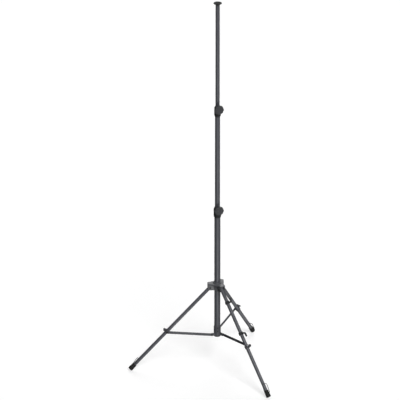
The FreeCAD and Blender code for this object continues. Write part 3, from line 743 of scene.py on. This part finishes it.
def domed(radius, low, high, shank_r, shank_low):
    """Rivet along Z: a plain shank, and a head whose crown is a low dome, r from radius to 0 and
    height with the cosine of the same share."""
    t = np.linspace(0, np.pi / 2, 9)
    crown = np.stack([radius * np.cos(t), low + (high - low) * (0.25 + 0.75 * np.sin(t))], -1)
    shank = [(0, shank_low), (shank_r, shank_low), (shank_r, low), (radius, low)]
    return shell(spun(np.concatenate([shank, crown]), 48))


pins = []
for leg in LEGS:
    fold = JOINTS["brace_%s_fold" % leg]
    plane = leg_plane(fold)
    lug = np.array(fold["pos_m"]) / MM
    low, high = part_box("brace_rivet_" + leg)
    joint = np.array((low + high) / 2) / MM
    run = np.array([plane[0] @ (joint - lug), (joint - lug)[2]])
    length = float(np.hypot(*run))
    rise = run / length
    bar_axes = np.array([plane[0] * rise[0] + UP * rise[1], plane[1], UP * rise[0] - plane[0] * rise[1]])
    seat = (lug, bar_axes)
    bar_low, bar_high = reach("brace_bar_" + leg, seat)
    bar = softened([(-BAR_HALF_W, -BAR_HALF_W), (length + BAR_HALF_W, -BAR_HALF_W),
                    (length + BAR_HALF_W, BAR_HALF_W), (-BAR_HALF_W, BAR_HALF_W)], BAR_HALF_W - 0.01, 18)
    piece("brace_%s_bar" % leg, [seated(shell(slab(bar, bar_low[1], bar_high[1], 0.5) @ FLAT), seat)],
          bracket_coat, "brace_bar_" + leg)
    far = (lug + length * bar_axes[0], ACROSS @ bar_axes)
    _, rivet_high = reach("brace_rivet_" + leg, far)
    rivet = domed(RIVET_HEAD_R, bar_high[1], rivet_high[2], RIVET_R, bar_low[1])
    piece("brace_%s_rivet" % leg, [seated(rivet, far)], black_oxide, "brace_rivet_" + leg)
    head = bar_high[1] + 0.3
    pins.append(seated(domed(PIN_HEAD_R, head, head + PIN_HEAD_H, RIVET_R, LUG_INNER),
                       (lug, ACROSS @ plane)))
piece("brace_pin_set", pins, black_oxide, "brace_pins")


# ---- Cable hooks ----
# Two nylon hooks sprung on the front leg: a split ring, a lug that closes it behind, and an arm
# that runs out, bends and tapers to a rounded tip. One tip points up and the other down.

HOOK_R, HOOK_HALF_L, HOOK_SLIT = 13.4, 8.0, 0.7
ARM_REACH, ARM_DROP, ARM_TIP, ARM_HALF_T, TIP_HALF_T, ARM_HALF_W = 42.0, 11.0, 20.0, 5.0, 3.5, 5.0


def split_ring():
    """Ring about Z, open towards -X by the slit: a soft bar section carried round from one lug face
    to the other, with the lugs drawn out along -X."""
    half_t = (HOOK_R - LEG_TUBE_R - 0.05) / 2
    middle = HOOK_R - half_t
    lug_y = HOOK_SLIT + half_t
    start = np.arcsin((lug_y + 2) / (middle + 2))
    run = np.stack([np.linspace(-19.6, -(middle + 2) * np.cos(start), 10), np.full(10, lug_y)], -1)
    band = np.linspace(np.pi - start, 0, 34)
    half = np.concatenate([run, np.stack([middle * np.cos(band), middle * np.sin(band)], -1)])
    line = np.concatenate([half, (half * (1, -1))[-2::-1]])
    path = np.column_stack([line, np.zeros(len(line))])
    tall = np.where(path[:, 0] < -middle, HOOK_HALF_L - 2, HOOK_HALF_L)
    section = softened([(-1, -1), (1, -1), (1, 1), (-1, 1)], 0.35, 4)
    size = np.column_stack([tall, np.full(len(tall), half_t)])
    return shell(carried(path, section * size[:, None], UP))


def hook_arm(way):
    """Arm in the XZ plane: a rounded bar section carried along a softened bend. It thins evenly from
    the ring to the tip, which is round: its last stretch follows a quarter circle."""
    end = np.array([ARM_REACH + 2, -ARM_DROP - way * (ARM_TIP + TIP_HALF_T)])
    bend = softened([(11.5, -0.5), (ARM_REACH, -ARM_DROP), end], [0, 7, 0], 14, False)
    line = np.concatenate([np.linspace(bend[0], bend[1], 10)[:-1], bend[1:-1],
                           end + (bend[-2] - end) * (1 - np.sin(np.linspace(0, np.pi / 2, 22)[1:, None]))])
    left = np.linalg.norm(line - end, axis=1)
    half_t = TIP_HALF_T + (ARM_HALF_T - TIP_HALF_T) * np.clip(left / 55, 0, 1)
    blunt = np.sqrt(np.clip(1 - (1 - np.clip(left / TIP_HALF_T, 0, 1)) ** 2, 0.0004, 1))
    size = np.column_stack([ARM_HALF_W * blunt, half_t * blunt])
    section = softened([(-1, -1), (1, -1), (1, 1), (-1, 1)], 0.6, 6)
    path = np.column_stack([line[:, 0], np.zeros(len(line)), line[:, 1]])
    return shell(carried(path, section * size[:, None], (0, 1, 0)))


seat = leg_seat("front")
for name in ("upper", "lower"):
    low, high = reach("cable_hook_" + name, seat)
    way = -1 if name == "upper" else 1
    mid = high[2] - max(HOOK_HALF_L, -ARM_DROP - way * (ARM_TIP + TIP_HALF_T))
    here = (seat[0] + mid * seat[1][2], seat[1])
    piece("cable_hook_%s_clip" % name, [seated(split_ring(), here), seated(hook_arm(way), here)],
          moulded_nylon, "cable_hook_" + name)


# ---- Middle and top mast tubes ----
# The two sliding sections, 29 and 24 mm across, enamelled like the bottom one. Guide bushes inside
# keep their CAD shape.

for name in ("middle", "top"):
    low, high, r = upright(name + "_tube")
    piece("mast_tube_" + name, [tube(MAST_WALL, low, high, r)], tube_enamel, name + "_tube")


# ---- Mast clamps ----
# A nylon collar on the upper end of each outer tube, with a boss for the screw, a round knob with
# eight lobes, and inside it a brass insert and a nylon pad that presses on the sliding tube.

# Natural nylon: milky and waxy.
natural_nylon = coated("natural_nylon", "#cfcabb", "#ddd9cc", (0.4, 0.5), 10, 0.6, 0.01)[0]

COLLAR_LIP, COLLAR_LIP_H, COLLAR_BOSS_R, COLLAR_BOSS_OUT, CONE_H, CONE_WALL = 1.6, 7.0, 10.0, 5.0, 11.0, 3.2
KNOB_LOBES, KNOB_SCALLOP = 8, 6.0


def collar(low, high, outer, tube_r, inner_r, ledge):
    """Collar about Z: a set-back lip, a side with three shallow rings, a cone that closes on the
    sliding tube, and a bore stepped at the outer tube's end, all in one softened profile."""
    shoulder = high - CONE_H
    corners = [(tube_r + 0.03, low), (outer - COLLAR_LIP, low), (outer - COLLAR_LIP, low + COLLAR_LIP_H),
               (outer, low + COLLAR_LIP_H)]
    radii = [0, 0.8, 0.3, 0.9]
    for k in range(3):
        z = low + COLLAR_LIP_H + 5 + 4 * k
        corners += [(outer, z), (outer - 0.6, z + 0.5), (outer - 0.6, z + 1.3), (outer, z + 1.8)]
        radii += [0.2, 0.2, 0.2, 0.2]
    corners += [(outer, shoulder), (inner_r + CONE_WALL, high), (inner_r + 0.06, high),
                (inner_r + 0.06, ledge), (tube_r + 0.03, ledge)]
    radii += [3.0, 1.0, 0.5, 0, 0]
    return shell(spun(softened(corners, radii, 5), 96), ring=True)


for name, outer_tube, inner_tube in (("lower", "bottom_tube", "middle_tube"),
                                     ("upper", "middle_tube", "top_tube")):
    turn = JOINTS[name + "_knob_turn"]
    axis = np.array(turn["axis"])
    axes = np.array([axis, np.cross(UP, axis), UP])
    low, high, _ = upright(name + "_clamp_collar")
    _, ledge, outer_r = upright(outer_tube)
    inner_r = upright(inner_tube)[2]
    knob_z = turn["pos_m"][2] / MM
    centre = (UP * knob_z, axes)
    knob_low, knob_high = reach(name + "_knob_head", centre)
    boss_end = knob_low[0] - 1.0
    wall_r = boss_end - COLLAR_BOSS_OUT
    piece("clamp_%s_collar" % name,
          [collar(low, high, wall_r, outer_r, inner_r, ledge),
           seated(side_boss(COLLAR_BOSS_R, boss_end, wall_r, 1.6, 1.0), centre)],
          moulded_nylon, name + "_clamp_collar")
    knob = lobed_knob(float(knob_high[1]), knob_high[0] - knob_low[0], KNOB_LOBES, KNOB_SCALLOP)
    knob = knob @ ALONG_X + (knob_low[0], 0, 0)
    piece("clamp_%s_knob" % name, [seated(shell(knob), centre)], knob_nylon, name + "_knob_head")


# ---- Top flange ----
# Thin steel disc welded on a plug in the top tube, with a threaded hole down its middle for what
# the stand carries. Black powder coat, worn grey in small spots.

# Powder coat on a machined disc: black, rubbed to dark grey in small spots all over.
flange_coat = nicked(coated("flange_powder_coat", "#111112", "#19191a", (0.55, 0.65), 25, 1.0, 0.03,
                            specular=0.2), "#3e3f41", 6, 0.42, 0.3)

low, high, flange_r = upright("top_flange")
FLANGE_H, PLUG_STEP, PLUG_R, TAP_R, TAP_PITCH, TAP_DEPTH = 3.0, 6.5, 10.5, 4.25, 1.5, 25.0
tap = np.arange(high - 0.8, high - TAP_DEPTH, -TAP_PITCH / 6)
hole = np.column_stack([np.full(len(tap), TAP_R), tap])
body = softened([(TAP_R + 0.8, high), (flange_r, high), (flange_r, high - FLANGE_H),
                 (PLUG_R + 0.9, high - FLANGE_H), (PLUG_R + 0.9, high - PLUG_STEP),
                 (PLUG_R, high - PLUG_STEP), (PLUG_R, low), (0, low)],
                [0, 0.9, 0.9, 1.0, 0.2, 0.1, 0.8, 0], 6, False)
grid = spun(np.concatenate([body[::-1], hole, [(TAP_R - 0.5, tap[-1]), (0, tap[-1] - 1.5)]]), 96)
# The hole's radius rises by a triangle wave of height over pitch less angle over a full turn: a helix.
angle = np.linspace(0, 2 * np.pi, 96, endpoint=False)
wave = abs(((tap[:, None] / TAP_PITCH - angle / (2 * np.pi)) % 1) * 2 - 1) * 0.5
grid[len(body):len(body) + len(tap), :, :2] *= (1 + wave / TAP_R)[..., None]
piece("top_flange_disc", [shell(grid)], flange_coat, "top_flange")


# ---- Pieces that keep their CAD shape ----
# Plugs, bushes, inserts, pads and studs inside the stand get the finish of their real material.

KEPT = {moulded_nylon: ("middle_bush", "top_bush", "leg_plug_left", "leg_plug_front", "leg_plug_rear"),
        turned_brass: ("lower_clamp_insert", "upper_clamp_insert", "hub_lock_insert"),
        natural_nylon: ("lower_clamp_pad", "upper_clamp_pad"),
        zinc_plate: ("lower_knob_stud", "upper_knob_stud", "hub_lock_stud")}
for finish, names in KEPT.items():
    for name in names:
        NODES[name].data.materials.clear()
        NODES[name].data.materials.append(finish)


# ---- Studio ----
# A wide pale floor with a pale round wall far behind it, a dim even sky, and four soft suns: one from
# the front right, one from behind for the top faces, and two weak ones from below. Those two stand
# for what a white floor throws back up, and draw the bright line down each tube.

STUDIO_R, WALL_H = 60.0, 40.0


def stage(name, points, faces, dark, light, glow):
    """Piece of the studio. It glows a little, so that shadows on it are faint. It neither lights the
    stand nor mirrors in it, as with black cloth laid round the stand, and lets the suns through."""
    mesh = bpy.data.meshes.new(name)
    mesh.from_pydata(points, [], faces)
    finish, shader = coated("painted_" + name, dark, light, (0.85, 0.95), 500, 4, 0.02, specular=0.1)[:2]
    shader.inputs["Emission Color"].default_value = linear("#ffffff")
    shader.inputs["Emission Strength"].default_value = glow
    mesh.materials.append(finish)
    made = bpy.data.objects.new(name, mesh)
    bpy.context.scene.collection.objects.link(made)
    made.visible_diffuse = made.visible_glossy = made.visible_shadow = False


rim = np.column_stack([circle(96, STUDIO_R), np.zeros(96)])
stage("floor", rim, [range(96)], "#b4b4b4", "#bababa", 0.57)
stage("wall", np.concatenate([rim, rim + UP * WALL_H]),
      [(i, (i + 1) % 96, (i + 1) % 96 + 96, i + 96) for i in range(96)], "#303030", "#343434", 1.0)

world = bpy.data.worlds.new("studio")
world.use_nodes = True
world.node_tree.nodes["Background"].inputs["Color"].default_value = linear("#f4f5f7")
world.node_tree.nodes["Background"].inputs["Strength"].default_value = 0.12
bpy.context.scene.world = world

VIEW_AZIMUTH, VIEW_ELEVATION = -5.6, 24.78


def direction(azimuth, elevation):
    """Unit vector from the object towards a point at an azimuth, 0 being -Y, and an elevation."""
    a, e = np.radians(azimuth), np.radians(elevation)
    return np.array([np.sin(a) * np.cos(e), -np.cos(a) * np.cos(e), np.sin(e)])


# Each sun's name, azimuth from the camera's, elevation, strength, and how wide it is in degrees.
SUNS = (("key", 22, 46, 2.5, 24), ("back", 176, 42, 1.2, 40), ("bounce", 14, -26, 0.95, 22),
        ("low", 109, -59, 0.7, 40))
for name, azimuth, elevation, strength, spread in SUNS:
    lamp = bpy.data.lights.new(name, "SUN")
    lamp.energy = strength
    lamp.angle = np.radians(spread)
    sun = bpy.data.objects.new(name, lamp)
    from_here = Vector(direction(VIEW_AZIMUTH + azimuth, elevation))
    sun.rotation_euler = from_here.to_track_quat("Z", "Y").to_euler()
    bpy.context.scene.collection.objects.link(sun)

# A long lens from far off, aimed half way up and a little to the mast's left.
CAMERA_DISTANCE, LENS, AIM_SHARE, AIM_ASIDE = 35.6, 559.0, 0.4647, -0.0999
toward = direction(VIEW_AZIMUTH, VIEW_ELEVATION)
aside = np.array([np.cos(np.radians(VIEW_AZIMUTH)), np.sin(np.radians(VIEW_AZIMUTH)), 0])
aim = UP * cad_box[1].z * AIM_SHARE + aside * AIM_ASIDE
camera_data = bpy.data.cameras.new("camera")
camera_data.lens, camera_data.sensor_width = LENS, 36.0
camera_data.clip_start, camera_data.clip_end = 1.0, 300.0
camera = bpy.data.objects.new("camera", camera_data)
camera.location = aim + toward * CAMERA_DISTANCE
camera.rotation_euler = Vector(toward).to_track_quat("Z", "Y").to_euler()
bpy.context.scene.collection.objects.link(camera)
bpy.context.scene.camera = camera
bpy.context.scene.view_settings.view_transform = "Standard"
